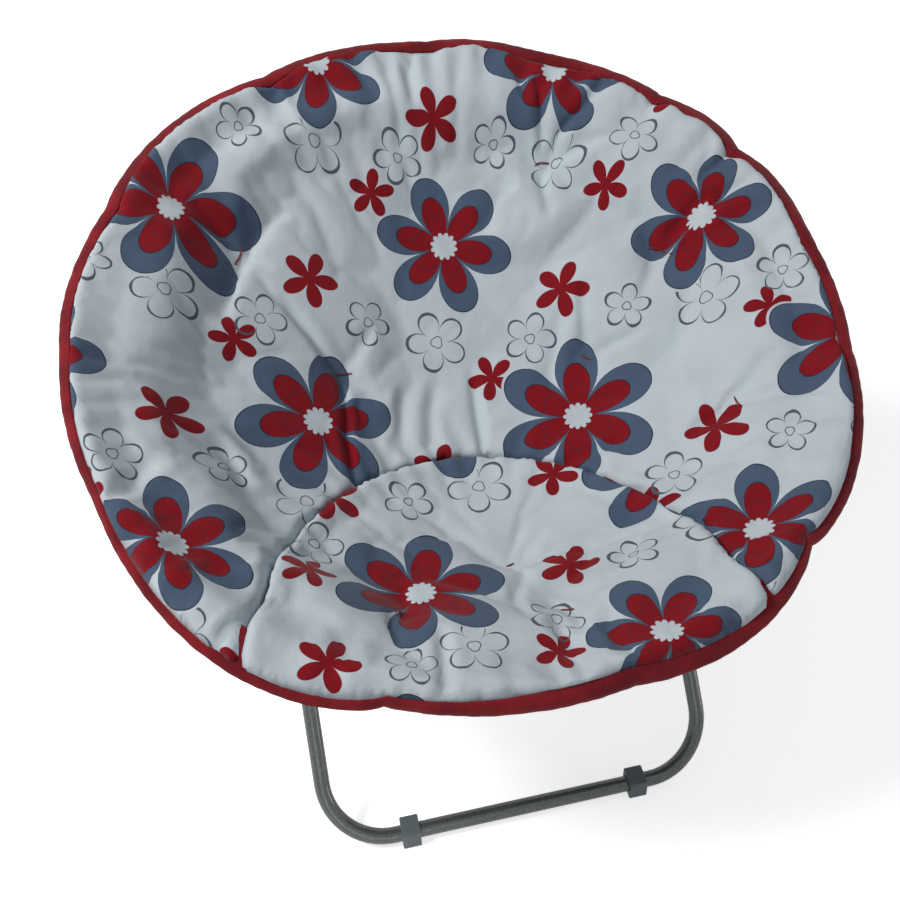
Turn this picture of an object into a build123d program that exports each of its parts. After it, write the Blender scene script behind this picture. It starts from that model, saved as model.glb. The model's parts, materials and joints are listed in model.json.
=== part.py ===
"""Folding saucer chair: a padded bowl on a hinged steel hoop, carried by two crossing U-shaped legs.

World frame: +X to the sitter's left seen from the front (the viewer's right), +Y to the back, +Z up.
The origin is on the floor under the centre of the hoop.
Hoop frame: x as in the world, s up the slope of the hoop towards its back, n square to the hoop.
Millimetres and degrees throughout.
"""

import os
from math import acos, asin, atan2, cos, degrees, hypot, radians, sin, sqrt

from build123d import *

# ---- hoop -------------------------------------------------------------------------------------
hoop_radius = 392.0  # centre line of the hoop tube
hoop_height = 534.0  # height of the hoop's centre above the floor
hoop_tilt = 26.5  # the back of the hoop is the high side
tube_radius = 9.0
tube_wall = 1.2

# ---- legs -------------------------------------------------------------------------------------
front_leg_half_span = 225.0  # upright to centre line: the inner U, standing on the front feet
leg_side_gap = 4.0  # between the inner U and the outer one, which stands on the rear feet
front_foot_y = -234.0
rear_foot_y = 260.0
leg_bend_radius = 72.0
leg_overrun = 12.0  # tube beyond the top pivot

# ---- feet -------------------------------------------------------------------------------------
foot_side = 26.0  # square outside of the plastic collar
foot_width = 21.0  # along the floor bar
foot_spread = 135.0  # collar centre to chair centre
foot_round = 2.5
foot_bore_clearance = 0.1

# ---- pivots -----------------------------------------------------------------------------------
pivot_drop = 34.0  # leg pivots hang this far under the hoop's centre line
pin_radius = 3.0
pin_clearance = 0.08
rivet_head_radius = 6.0
rivet_head_height = 2.6
bracket_plate = 2.5
bracket_side_gap = 0.5
bracket_length = 20.0
bracket_nose = 9.5
bracket_web = 5.0  # bottom of the saddle web under the tube's lowest line
weld_clearance = 0.1
cap_dome = 3.0
cap_plug = 14.0
washer_radius = 8.5
crossing_clearance = 0.3
head_clearance = 0.2

# ---- hoop hinges ------------------------------------------------------------------------------
hinge_reach = 28.0  # pivot to tube end, along s
knuckle_height = 16.0
knuckle_nose = 9.0
tongue_thickness = 4.0
tongue_gap = 0.8  # between the two tongues, across the hinge
plug_length = 12.0
plug_clearance = 0.3  # a straight plug in a bent tube needs this much all round
stop_tab = 3.0
stop_clearance = 0.3
fold_limit = 165.0  # turn of the front half of the hoop, up and over the back half

# ---- fabric -----------------------------------------------------------------------------------
binding_thickness = 2.2
binding_clearance = 0.3
binding_slot_margin = 3.0
binding_setback = 5.0  # from the end of the hoop tube
pad_edge_clearance = 0.8
bowl_depth = 185.0
bowl_low_point = -100.0  # the deepest place is this far in front of the hoop's centre
bowl_power = 1.7  # roundness of the bowl's section
pad_edge_thickness = 9.0
pad_middle_thickness = 28.0
pad_fullness = 9  # the higher, the nearer to the edge the pad keeps its thickness
pad_rim_land = 3.0
bowl_levels = (1.0, 0.96, 0.90, 0.80, 0.65, 0.48, 0.30, 0.14)
seat_arch_radius = 216.0  # seam between the seat panel and the back panel
seat_arch_offset = -26.0  # the cover sits slightly askew on its hoop
seat_arch_centre = -294.0
seam_gap = 0.6
seam_round = 5.0
hinge_line_gap = 0.5
tuft_depth = 9.0
tuft_radius = 110.0  # ball that presses the dimple
# x and s of the tufts in the back panel and in the seat panel
back_tufts = ((-226, 162), (-130, 36), (156, 9), (148, 244), (260, 100), (276, -119))
seat_tufts = ((-121, -281), (7, -228), (37, -305))

parts_folder = "parts"


def along(start, direction, distance):
    return (start[0] + direction[0] * distance, start[1] + direction[1] * distance)


def distance(a, b):
    return hypot(a[0] - b[0], a[1] - b[1])


def direction(start, end):
    length = distance(start, end)
    return ((end[0] - start[0]) / length, (end[1] - start[1]) / length)


rear_leg_half_span = front_leg_half_span + 2 * tube_radius + leg_side_gap

# ---- side view of the linkage, all in (y, z) ----------------------------------------------------
up_slope = (cos(radians(hoop_tilt)), sin(radians(hoop_tilt)))
off_hoop = (-sin(radians(hoop_tilt)), cos(radians(hoop_tilt)))
hoop_centre = (0.0, hoop_height)
bar_height = foot_side / 2


def hoop_to_side(s, n):
    """A point of the hoop frame in the side view."""
    return along(along(hoop_centre, up_slope, s), off_hoop, n)


def turn(point, centre, angle):
    """Turn a side-view point about a centre, positive from +y towards +z."""
    dy, dz = point[0] - centre[0], point[1] - centre[1]
    c, s = cos(radians(angle)), sin(radians(angle))
    return (centre[0] + dy * c - dz * s, centre[1] + dy * s + dz * c)


def heading(start, end):
    return degrees(atan2(end[1] - start[1], end[0] - start[0]))


def crossing(a, b, c, d):
    """Where line a-b meets line c-d."""
    ux, uy, vx, vy = b[0] - a[0], b[1] - a[1], d[0] - c[0], d[1] - c[1]
    share = ((c[0] - a[0]) * vy - (c[1] - a[1]) * vx) / (ux * vy - uy * vx)
    return (a[0] + share * ux, a[1] + share * uy)


front_foot = (front_foot_y, bar_height)
rear_foot = (rear_foot_y, bar_height)
back_pivot_s = sqrt(hoop_radius**2 - front_leg_half_span**2)  # front-foot leg, under the back arc
front_pivot_s = -sqrt(hoop_radius**2 - rear_leg_half_span**2)  # rear-foot leg, under the front arc
back_pivot = hoop_to_side(back_pivot_s, -pivot_drop)
front_pivot = hoop_to_side(front_pivot_s, -pivot_drop)
cross_pivot = crossing(front_foot, back_pivot, rear_foot, front_pivot)

# The chair folds flat when the two links of the hoop differ by as much as the two links of the legs:
# |hinge - back pivot| - |hinge - front pivot| = |cross - back pivot| - |cross - front pivot|.
# The hinge is therefore where a hyperbola about the two leg pivots cuts the plane of the hoop.
leg_difference = distance(cross_pivot, back_pivot) - distance(cross_pivot, front_pivot)
half_focus = (back_pivot_s - front_pivot_s) / 2
half_axis = leg_difference / 2
hinge_s = (back_pivot_s + front_pivot_s) / 2 - half_axis * sqrt(
    1 + pivot_drop**2 / (half_focus**2 - half_axis**2)
)
hinge_x = sqrt(hoop_radius**2 - hinge_s**2)
hinge = hoop_to_side(hinge_s, 0)


def folded_link_turns(fold):
    """Turns of the front-foot leg under the back arc, and of the rear-foot leg under the front arc."""
    moved = turn(front_pivot, hinge, -fold)
    link_a, link_b = distance(cross_pivot, back_pivot), distance(cross_pivot, front_pivot)
    base = distance(back_pivot, moved)
    corner = degrees(acos((link_a**2 + base**2 - link_b**2) / (2 * link_a * base)))
    leg_heading = heading(back_pivot, moved) + corner
    cross = along(back_pivot, (cos(radians(leg_heading)), sin(radians(leg_heading))), link_a)
    front_leg_turn = leg_heading - heading(back_pivot, cross_pivot)
    rear_leg_turn = heading(cross, moved) - heading(cross_pivot, front_pivot) + fold
    return (front_leg_turn + 180) % 360 - 180, (rear_leg_turn + 180) % 360 - 180


# ---- helpers for solids -------------------------------------------------------------------------
hoop_plane = Plane(
    origin=(0, hoop_centre[0], hoop_centre[1]),
    x_dir=(1, 0, 0),
    z_dir=(0, off_hoop[0], off_hoop[1]),
)


def on_hoop(shape):
    """Carry a shape from the hoop frame to the world."""
    return hoop_plane.location * shape


def block(low, high):
    """A box from its lowest to its highest corner."""
    size = [b - a for a, b in zip(low, high)]
    middle = [(a + b) / 2 for a, b in zip(low, high)]
    return Pos(*middle) * Box(*size)


def rod(radius, x_from, x_to, y, z):
    """A cylinder along X."""
    return Pos((x_from + x_to) / 2, y, z) * Rot(0, 90, 0) * Cylinder(radius, x_to - x_from)


def mirrored(shape):
    return mirror(shape, about=Plane.YZ)


def both_sides(name, shape, nodes):
    """Keep a piece as it is for the right and mirrored for the left, each a node."""
    nodes[name + "_right"] = shape
    nodes[name + "_left"] = mirrored(shape)


def rivet(x_from, x_to, y, z, heads="both"):
    """A round rivet along X with low domed heads outside x_from and x_to."""
    body = rod(pin_radius, x_from, x_to, y, z)
    if heads in ("both", "low"):
        head = rod(rivet_head_radius, x_from - rivet_head_height, x_from, y, z)
        body += chamfer(head.edges().sort_by(Axis.X)[0], rivet_head_height * 0.45)
    if heads in ("both", "high"):
        head = rod(rivet_head_radius, x_to, x_to + rivet_head_height, y, z)
        body += chamfer(head.edges().sort_by(Axis.X)[-1], rivet_head_height * 0.45)
    return body


def hoop_angle(s):
    """Angle round the hoop, from +x, of the right-hand point at height s."""
    return degrees(asin(s / hoop_radius))


def hoop_arc(outer, inner, start_angle, sweep):
    """Part of a torus about the hoop's centre line, in the hoop frame. inner 0 gives a full section."""
    profile = Circle(outer) - Circle(inner) if inner else Circle(outer)
    placed = Plane(origin=(hoop_radius, 0, 0), x_dir=(1, 0, 0), z_dir=(0, -1, 0)) * profile
    return Rot(0, 0, start_angle) * revolve(placed, Axis.Z, sweep)


rear_start = hoop_angle(hinge_s + hinge_reach)
front_start = hoop_angle(hinge_s - hinge_reach)
rear_sweep = 180 - 2 * rear_start
front_sweep = 180 + 2 * front_start


# ---- hoop tubes, brackets and hinges ------------------------------------------------------------
def rear_hoop_tube():
    return on_hoop(hoop_arc(tube_radius, tube_radius - tube_wall, rear_start, rear_sweep))


def front_hoop_tube():
    return on_hoop(hoop_arc(tube_radius, tube_radius - tube_wall, 180 - front_start, front_sweep))


def leg_bracket(half_span, pivot_s):
    """Two ears on a saddle that is welded under the hoop tube. A leg top turns between the ears."""
    side = tube_radius + bracket_side_gap
    outer = side + bracket_plate
    web_bottom = -tube_radius - bracket_web
    half = bracket_length / 2
    ears = block((-outer, -half, -pivot_drop), (outer, half, -tube_radius / 2))
    ears += rod(bracket_nose, -outer, outer, 0, -pivot_drop)
    hollow = block((-side, -bracket_length, -2 * pivot_drop), (side, bracket_length, web_bottom))
    hole = rod(pin_radius + pin_clearance, -outer, outer, 0, -pivot_drop)
    shape = Pos(half_span, pivot_s, 0) * (ears - hollow - hole)
    return on_hoop(shape - hoop_arc(tube_radius + weld_clearance, 0, 0, 360))


def leg_rivet(half_span, pivot):
    reach = tube_radius + bracket_side_gap + bracket_plate + head_clearance
    return rivet(half_span - reach, half_span + reach, *pivot)


def hinge_knuckle(towards_back):
    """The end fitting of one hoop half: a plug in the tube, a body, and a tongue beside the pivot."""
    sense = 1 if towards_back else -1
    tube_s = hinge_s + sense * hinge_reach
    tube_x = sqrt(hoop_radius**2 - tube_s**2)
    tangent = (-tube_s / hoop_radius * sense, tube_x / hoop_radius * sense)  # away from the hinge
    across = (abs(tangent[1]), -abs(tangent[0]))
    end = (tube_x, tube_s)
    near = hinge_x + sense * tongue_gap / 2
    far = near + sense * tongue_thickness
    half = tube_radius - tube_wall
    shoulder = hinge_s + sense * knuckle_nose * 1.3
    nose = hinge_s - sense * knuckle_nose
    inner_first = [along(end, across, -sense * half), (near, shoulder), (near, nose)]
    plan = inner_first + [(far, nose), (far, shoulder), along(end, across, sense * half)]
    body = extrude(make_face(Polyline(*plan, close=True)), knuckle_height / 2, both=True)
    span = hoop_radius
    rounded = rod(knuckle_nose, 0, span, hinge_s, 0)
    side_low, side_high = sorted((hinge_s, tube_s + sense * hinge_reach))
    rounded += block((0, side_low, -knuckle_height / 2), (span, side_high, knuckle_height / 2))
    body = body & rounded
    plug_plane = Plane(origin=(end[0], end[1], 0), z_dir=(tangent[0], tangent[1], 0))
    plug_radius = tube_radius - tube_wall - plug_clearance
    plug = plug_plane * Cylinder(plug_radius, plug_length, align=(Align.CENTER,) * 2 + (Align.MIN,))
    body += plug
    body -= rod(pin_radius + pin_clearance, 0, span, hinge_s, 0)
    if not towards_back:
        # A bent tab under the other tongue stops the hoop when it is flat. It clears the round nose as it turns.
        tab_top = -knuckle_height / 2 - stop_clearance
        tab_s = hinge_s + sqrt((knuckle_nose + stop_clearance) ** 2 - tab_top**2)
        tab_end = hinge_s + knuckle_nose + stop_clearance
        reach_x = hinge_x + tongue_gap / 2 + tongue_thickness
        low = (far, tab_s, tab_top - stop_tab)
        tab = block(low, (reach_x, tab_end, tab_top))
        carrier = block(low, (near, tab_end, 0))
        body += tab + (carrier - rod(pin_radius + pin_clearance, 0, span, hinge_s, 0))
    return on_hoop(body)


def hinge_rivet():
    reach = tongue_gap / 2 + tongue_thickness + head_clearance
    return on_hoop(rivet(hinge_x - reach, hinge_x + reach, hinge_s, 0))


# ---- legs ---------------------------------------------------------------------------------------
def leg_tube(half_span, foot, pivot):
    """A bent U: floor bar between two bends, and two uprights up to the pivots."""
    length = distance(foot, pivot) + leg_overrun
    rise = direction(foot, pivot)
    plane = Plane(origin=(0, *foot), x_dir=(1, 0, 0), z_dir=(0, -rise[1], rise[0]))
    corner = half_span - leg_bend_radius
    bend = leg_bend_radius
    quarter = bend * (1 - cos(radians(45)))
    path = Polyline((-half_span, length), (-half_span, bend))
    path += ThreePointArc((-half_span, bend), (-half_span + quarter, quarter), (-corner, 0))
    path += Line((-corner, 0), (corner, 0))
    path += ThreePointArc((corner, 0), (half_span - quarter, quarter), (half_span, bend))
    path += Line((half_span, bend), (half_span, length))
    start = Plane(origin=(-half_span, length, 0), x_dir=(1, 0, 0), z_dir=(0, -1, 0))
    section = start * (Circle(tube_radius) - Circle(tube_radius - tube_wall))
    tube = plane.location * sweep(section, path=path)
    drill = rod(pin_radius + pin_clearance, -2 * half_span, 2 * half_span, *pivot)
    drill += rod(pin_radius + pin_clearance, -2 * half_span, 2 * half_span, *cross_pivot)
    return tube - drill


def leg_cap(half_span, foot, pivot):
    """Domed plastic plug in the top of an upright, split by the pivot rivet's hole."""
    rise = direction(foot, pivot)
    end = along(pivot, rise, leg_overrun)
    plane = Plane(origin=(half_span, *end), x_dir=(1, 0, 0), z_dir=(0, *rise))
    dome = Cylinder(tube_radius, cap_dome, align=(Align.CENTER, Align.CENTER, Align.MIN))
    dome = chamfer(dome.edges().sort_by(Axis.Z)[-1], cap_dome * 0.6)
    plug_radius = tube_radius - tube_wall - weld_clearance / 2
    plug = Cylinder(plug_radius, cap_plug, align=(Align.CENTER, Align.CENTER, Align.MAX))
    drill = rod(pin_radius + pin_clearance, 0, 2 * half_span, *pivot)
    return plane * (dome + plug) - drill


def foot_collar(foot):
    """Square plastic collar on the floor bar, with a flat sole."""
    collar = block(
        (foot_spread - foot_width / 2, foot[0] - foot_side / 2, foot[1] - foot_side / 2),
        (foot_spread + foot_width / 2, foot[0] + foot_side / 2, foot[1] + foot_side / 2),
    )
    collar = fillet(collar.edges().filter_by(Axis.X), foot_round)
    collar = chamfer(collar.faces().sort_by(Axis.X)[0].edges(), foot_round * 0.3)
    collar = chamfer(collar.faces().sort_by(Axis.X)[-1].edges(), foot_round * 0.3)
    return collar - rod(tube_radius + foot_bore_clearance, 0, 2 * foot_spread, *foot)


leg_gap_low = front_leg_half_span + tube_radius
leg_gap_high = rear_leg_half_span - tube_radius


def crossing_washer():
    """Nylon washer on the inner leg, between the two legs where they cross."""
    ring = rod(washer_radius, leg_gap_low, leg_gap_high - crossing_clearance, *cross_pivot)
    return ring - rod(pin_radius + pin_clearance, 0, 2 * leg_gap_high, *cross_pivot)


def crossing_rivet_inner():
    low = front_leg_half_span - tube_radius - head_clearance
    return rivet(low, leg_gap_high - crossing_clearance, *cross_pivot, heads="low")


def crossing_rivet_outer():
    high = rear_leg_half_span + tube_radius + head_clearance
    return rivet(leg_gap_high, high, *cross_pivot, heads="high")


# ---- binding and pad ----------------------------------------------------------------------------
def binding(start_angle, sweep_angle, half_span, pivot_s):
    """Fabric tape folded round the hoop tube, open below where a leg bracket comes through."""
    inner = tube_radius + binding_clearance
    tape = hoop_arc(inner + binding_thickness, inner, start_angle, sweep_angle)
    margin = tube_radius + bracket_side_gap + bracket_plate + binding_slot_margin
    half = bracket_length / 2 + binding_slot_margin
    slot = block((-margin, -half, -2 * tube_radius), (margin, half, -tube_radius / 3))
    for side in (-1, 1):
        tape -= Pos(side * half_span, pivot_s, 0) * slot
    return on_hoop(tape)


def rear_binding():
    start = hoop_angle(hinge_s + hinge_reach + binding_setback)
    return binding(start, 180 - 2 * start, front_leg_half_span, back_pivot_s)


def front_binding():
    start = hoop_angle(hinge_s - hinge_reach - binding_setback)
    return binding(180 - start, 180 + 2 * start, rear_leg_half_span, front_pivot_s)


pad_radius = hoop_radius - tube_radius - binding_clearance - binding_thickness - pad_edge_clearance


def pad_thickness(level):
    return pad_edge_thickness + (pad_middle_thickness - pad_edge_thickness) * (1 - level**pad_fullness)


def bowl_surface(level):
    """Depth of the middle of the pad under the hoop plane, on the circle of this level."""
    return bowl_depth * (1 - level**bowl_power)


def level_circle(level, height, radius_cut=0.0):
    """A closed wire of four arcs. Every level of the bowl is a circle, and they close on the low point."""
    radius = pad_radius * level - radius_cut
    s = bowl_low_point * (1 - level)
    corner = [(radius * cos(radians(a)), s + radius * sin(radians(a)), height) for a in range(0, 360, 45)]
    arcs = [ThreePointArc(corner[i], corner[i + 1], corner[(i + 2) % 8]) for i in range(0, 8, 2)]
    return Wire(arcs)


def pad_level_at(x, s):
    """Level of the bowl circle through a point, by halving."""
    low, high = 0.0, 1.5
    for _ in range(40):
        middle = (low + high) / 2
        outside = hypot(x, s - bowl_low_point * (1 - middle)) > pad_radius * middle
        low, high = (middle, high) if outside else (low, middle)
    return low


def bowl_top(x, s):
    """Height of the pad's upper face over the hoop plane."""
    level = pad_level_at(x, s)
    return pad_thickness(level) / 2 - bowl_surface(level)


def tuft(x, s):
    """A ball that presses a dimple square into the upper face."""
    step = 1.0
    uphill = Vector(
        bowl_top(x + step, s) - bowl_top(x - step, s),
        bowl_top(x, s + step) - bowl_top(x, s - step),
    )
    square = (Vector(0, 0, 2 * step) - uphill).normalized()
    centre = Vector(x, s, bowl_top(x, s)) + square * (tuft_radius - tuft_depth)
    return Pos(*centre) * Sphere(tuft_radius)


def whole_pad():
    """The bowl-shaped pad in one piece, in the hoop frame."""
    under = [level_circle(a, -bowl_surface(a) - pad_thickness(a) / 2) for a in bowl_levels]
    over = [level_circle(a, -bowl_surface(a) + pad_thickness(a) / 2, pad_rim_land) for a in bowl_levels]
    rim = Cylinder(pad_radius, pad_edge_thickness)
    shell = rim + Solid.make_loft(under)
    pad = shell - Solid.make_loft(over)
    for x, s in back_tufts + seat_tufts:
        pad -= tuft(x, s)
    # The edge is pressed in where it lies against a leg bracket.
    side = tube_radius + bracket_side_gap + bracket_plate + pad_edge_clearance
    half = bracket_length / 2 + pad_edge_clearance
    for x, s in ((front_leg_half_span, back_pivot_s), (rear_leg_half_span, front_pivot_s)):
        pocket = block((-side, -half, -2 * pivot_drop), (side, half, pad_edge_clearance - tube_radius / 2))
        pad -= Pos(x, s, 0) * pocket
        pad -= Pos(-x, s, 0) * pocket
    return pad


def seat_arch(grow):
    """Prism over the seat panel: a half round to the back, straight sides to the front."""
    radius = seat_arch_radius + grow
    tall = 4 * bowl_depth
    prism = Cylinder(radius, tall) + block((-radius, -hoop_radius, -tall / 2), (radius, 0, tall / 2))
    return Pos(seat_arch_offset, seat_arch_centre, 0) * prism


def round_seam(panel):
    """Draw a panel in along the seam, where its top meets the cut."""
    seam = []
    for edge in panel.edges():
        spot = edge @ 0.5
        across, behind = spot.X - seat_arch_offset, spot.Y - seat_arch_centre
        reach = hypot(across, behind) if behind > 0 else abs(across)
        above = spot.Z > -bowl_surface(pad_level_at(spot.X, spot.Y))
        if above and abs(reach - seat_arch_radius) < seam_gap and edge.length > 8 * seam_round:
            seam.append(edge)
    return fillet(seam, seam_round)


def pad_nodes(nodes):
    """Seat panel and back panel, each cut where the hoop hinges."""
    pad = whole_pad()
    wide = 2 * hoop_radius
    behind = block((-wide, hinge_s + hinge_line_gap / 2, -wide), (wide, wide, wide))
    ahead = block((-wide, -wide, -wide), (wide, hinge_s - hinge_line_gap / 2, wide))
    seat = round_seam(pad & seat_arch(-seam_gap / 2))
    back = round_seam(pad - seat_arch(seam_gap / 2))
    wings = (back & ahead).solids().sort_by(Axis.X)
    nodes["back_panel"] = on_hoop(back & behind)
    nodes["back_panel_wing_left"] = on_hoop(wings[0])
    nodes["back_panel_wing_right"] = on_hoop(wings[-1])
    nodes["seat_panel"] = on_hoop(seat & ahead)
    nodes["seat_panel_tongue"] = on_hoop(seat & behind)


# ---- everything ---------------------------------------------------------------------------------
def build():
    nodes = {
        "rear_hoop_tube": rear_hoop_tube(),
        "front_hoop_tube": front_hoop_tube(),
        "rear_binding": rear_binding(),
        "front_binding": front_binding(),
        "front_leg_tube": leg_tube(front_leg_half_span, front_foot, back_pivot),
        "rear_leg_tube": leg_tube(rear_leg_half_span, rear_foot, front_pivot),
    }
    both_sides("rear_hoop_bracket", leg_bracket(front_leg_half_span, back_pivot_s), nodes)
    both_sides("front_hoop_bracket", leg_bracket(rear_leg_half_span, front_pivot_s), nodes)
    both_sides("rear_bracket_rivet", leg_rivet(front_leg_half_span, back_pivot), nodes)
    both_sides("front_bracket_rivet", leg_rivet(rear_leg_half_span, front_pivot), nodes)
    both_sides("rear_hinge_knuckle", hinge_knuckle(True), nodes)
    both_sides("front_hinge_knuckle", hinge_knuckle(False), nodes)
    both_sides("hoop_hinge_rivet", hinge_rivet(), nodes)
    both_sides("front_leg_cap", leg_cap(front_leg_half_span, front_foot, back_pivot), nodes)
    both_sides("rear_leg_cap", leg_cap(rear_leg_half_span, rear_foot, front_pivot), nodes)
    both_sides("front_foot", foot_collar(front_foot), nodes)
    both_sides("rear_foot", foot_collar(rear_foot), nodes)
    both_sides("crossing_washer", crossing_washer(), nodes)
    both_sides("crossing_rivet_inner", crossing_rivet_inner(), nodes)
    both_sides("crossing_rivet_outer", crossing_rivet_outer(), nodes)
    pad_nodes(nodes)
    return nodes


os.makedirs(parts_folder, exist_ok=True)
for name, shape in build().items():
    export_step(shape, os.path.join(parts_folder, name + ".step"))

front_leg_turn, rear_leg_turn = folded_link_turns(fold_limit)
print("hoop hinge: x", round(hinge_x, 2), "s", round(hinge_s, 2), "side view", hinge)
print("back pivot", back_pivot, "front pivot", front_pivot, "cross pivot", cross_pivot)
print("turns at", fold_limit, "front leg", front_leg_turn, "rear leg", rear_leg_turn)
print("ratios", front_leg_turn / fold_limit, rear_leg_turn / fold_limit)
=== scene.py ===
# %% [markdown]
# # A folding saucer chair
# The chair is a round padded cover laced on a hinged steel hoop, and two U-shaped legs that cross under it.
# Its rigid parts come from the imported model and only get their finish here. The cover is the part that
# Blender makes: two panels of printed cotton over filling, tufted with red thread, and a red sleeve of
# tape that holds them on the hoop.

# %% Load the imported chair
import json
from math import acos, asin, cos, degrees, hypot, pi, radians, sin

import bpy
import numpy as np
from mathutils import Matrix, Vector
from mathutils.bvhtree import BVHTree
from mathutils.geometry import delaunay_2d_cdt


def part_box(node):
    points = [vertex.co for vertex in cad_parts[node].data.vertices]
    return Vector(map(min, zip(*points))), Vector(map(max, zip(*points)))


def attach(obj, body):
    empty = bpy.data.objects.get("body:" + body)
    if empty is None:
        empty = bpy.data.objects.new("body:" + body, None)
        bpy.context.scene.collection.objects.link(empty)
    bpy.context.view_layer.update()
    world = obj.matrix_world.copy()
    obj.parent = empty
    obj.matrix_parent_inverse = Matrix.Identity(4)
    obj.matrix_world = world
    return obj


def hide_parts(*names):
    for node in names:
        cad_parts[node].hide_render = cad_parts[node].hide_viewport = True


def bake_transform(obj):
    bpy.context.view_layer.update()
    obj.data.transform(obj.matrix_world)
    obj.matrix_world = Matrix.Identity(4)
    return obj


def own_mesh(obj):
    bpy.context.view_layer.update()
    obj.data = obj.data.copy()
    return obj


MM = 0.001
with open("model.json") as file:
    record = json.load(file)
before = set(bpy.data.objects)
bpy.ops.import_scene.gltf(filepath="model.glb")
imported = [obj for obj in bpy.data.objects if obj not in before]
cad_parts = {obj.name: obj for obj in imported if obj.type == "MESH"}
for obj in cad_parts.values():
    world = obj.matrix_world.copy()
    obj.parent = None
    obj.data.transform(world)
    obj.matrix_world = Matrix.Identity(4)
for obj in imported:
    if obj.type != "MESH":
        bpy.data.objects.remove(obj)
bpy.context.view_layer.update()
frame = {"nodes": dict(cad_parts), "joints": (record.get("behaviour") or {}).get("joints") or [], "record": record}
nodes = frame["nodes"]

# %% [markdown]
# ## The hoop's own frame
# Nearly everything on the cover follows the tilted hoop, so the script works in the hoop's frame: x to the
# side, s up the slope of the hoop, n square to it. The tilt and the size are read from the hoop's tube, so
# the cover keeps to the steel whatever its size.

# %% Measure the hoop
tube_radius = 9 * MM
rear_tube_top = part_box("rear_hoop_tube")[1]
hoop_radius = rear_tube_top.x - tube_radius
hoop_tilt = acos((rear_tube_top.y - tube_radius) / hoop_radius)
hoop_height = rear_tube_top.z - tube_radius - hoop_radius * sin(hoop_tilt)
hoop_centre = Vector((0, 0, hoop_height))
up_slope = Vector((0, cos(hoop_tilt), sin(hoop_tilt)))
off_hoop = Vector((0, -sin(hoop_tilt), cos(hoop_tilt)))
fold_joint = next(j for j in frame["joints"] if j["name"] == "hoop_fold")
hinge_s = (Vector(fold_joint["pos_m"]) - hoop_centre).dot(up_slope)
hinge_angle = degrees(asin(hinge_s / hoop_radius))


def to_world(x, s, n):
    """Points of the hoop's frame as world coordinates, one row each."""
    x, s, n = np.broadcast_arrays(x, s, n)
    along = np.outer(s.ravel(), up_slope) + np.outer(n.ravel(), off_hoop)
    return along + np.outer(x.ravel(), (1, 0, 0)) + np.array(hoop_centre)


print("hoop radius", round(hoop_radius, 4), "tilt", round(degrees(hoop_tilt), 2), "hinge s", round(hinge_s, 4))

# %% [markdown]
# ## Camera
# The place and the lens were fitted to the outline of the hoop and of the front leg in the photograph. The
# small shift puts the lens axis where the picture's own centre was.

# %% Add the camera
camera_azimuth, camera_elevation, camera_roll = radians(-11.38), radians(36.284), radians(-2.078)
camera_place = Vector((-0.1731, -0.8497, 1.0166))
camera_back = Vector(
    (
        sin(camera_azimuth) * cos(camera_elevation),
        -cos(camera_azimuth) * cos(camera_elevation),
        sin(camera_elevation),
    )
)
level_right = Vector((0, 0, 1)).cross(camera_back).normalized()
level_up = camera_back.cross(level_right)
camera_right = level_right * cos(camera_roll) + level_up * sin(camera_roll)
camera_up = level_up * cos(camera_roll) - level_right * sin(camera_roll)
bpy.ops.object.camera_add(location=camera_place)
camera = bpy.context.object
camera.name = "camera"
camera.rotation_euler = Matrix((camera_right, camera_up, camera_back)).transposed().to_euler()
camera.data.sensor_width = 36
camera.data.lens = 38.11
camera.data.shift_x, camera.data.shift_y = -0.0223, -0.0150
bpy.context.scene.camera = camera
bpy.context.scene.view_settings.view_transform = "Standard"

# %% [markdown]
# ## Floor, backdrop and light
# A pale floor and a white world. Rays from the camera see plain white, so the light on the chair can stay
# at the level at which a colour renders about as it is written. The main light comes from the left, as from
# a window, and leaves the left wall of the bowl in its own shade. The fill from above and from the front is
# cooler, so the shaded cloth turns a little blue. A weak lamp low on the right only reaches the outside of
# the rim and the legs.

# %% Lay the floor and set the lamps
floor_size = 12.0
bpy.ops.mesh.primitive_plane_add(size=floor_size)
floor = bpy.context.object
floor.name = "floor"

key_lamp = dict(place=(-1.75, -0.3, 2.55), aim=(0.0, 0.0, 0.45), size=1.0, energy=62, colour=(1.0, 0.985, 0.955))
fill_lamp = dict(place=(0.6, -0.4, 2.8), aim=(0.0, 0.0, 0.45), size=1.8, energy=4, colour=(0.90, 0.95, 1.0))
front_lamp = dict(place=(-0.5, -2.8, 1.0), aim=(0.0, 0.1, 0.45), size=1.6, energy=8, colour=(0.80, 0.89, 1.0))
side_lamp = dict(place=(2.1, -0.8, 0.35), aim=(0.0, 0.0, 0.45), size=0.9, energy=5, colour=(1.0, 0.97, 0.93))


def add_lamp(name, place, aim, size, energy, colour):
    bpy.ops.object.light_add(type="AREA", location=place)
    lamp = bpy.context.object
    lamp.name = name
    lamp.data.shape = "DISK"
    lamp.data.size, lamp.data.energy, lamp.data.color = size, energy, colour
    lamp.rotation_euler = (Vector(aim) - Vector(place)).to_track_quat("-Z", "Y").to_euler()


add_lamp("key_lamp", **key_lamp)
add_lamp("fill_lamp", **fill_lamp)
add_lamp("front_lamp", **front_lamp)
add_lamp("side_lamp", **side_lamp)

# %% [markdown]
# ## Helpers for node trees
# A material is a tree of nodes. Three small functions keep the trees short to write: one adds a node, one
# gives an input a link or a value, and one does a sum. An effect that several finishes share is a node
# group with named inputs, built once.

# %% Node helpers


def feed(tree, socket, value):
    """Links an output to a socket, or sets the socket's own value."""
    if isinstance(value, bpy.types.NodeSocket):
        tree.links.new(value, socket)
    else:
        socket.default_value = value


def add_node(tree, kind, inputs=None, **settings):
    node = tree.nodes.new(kind)
    for key, value in settings.items():
        setattr(node, key, value)
    for key, value in (inputs or {}).items():
        feed(tree, node.inputs[key], value)
    return node


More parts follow.
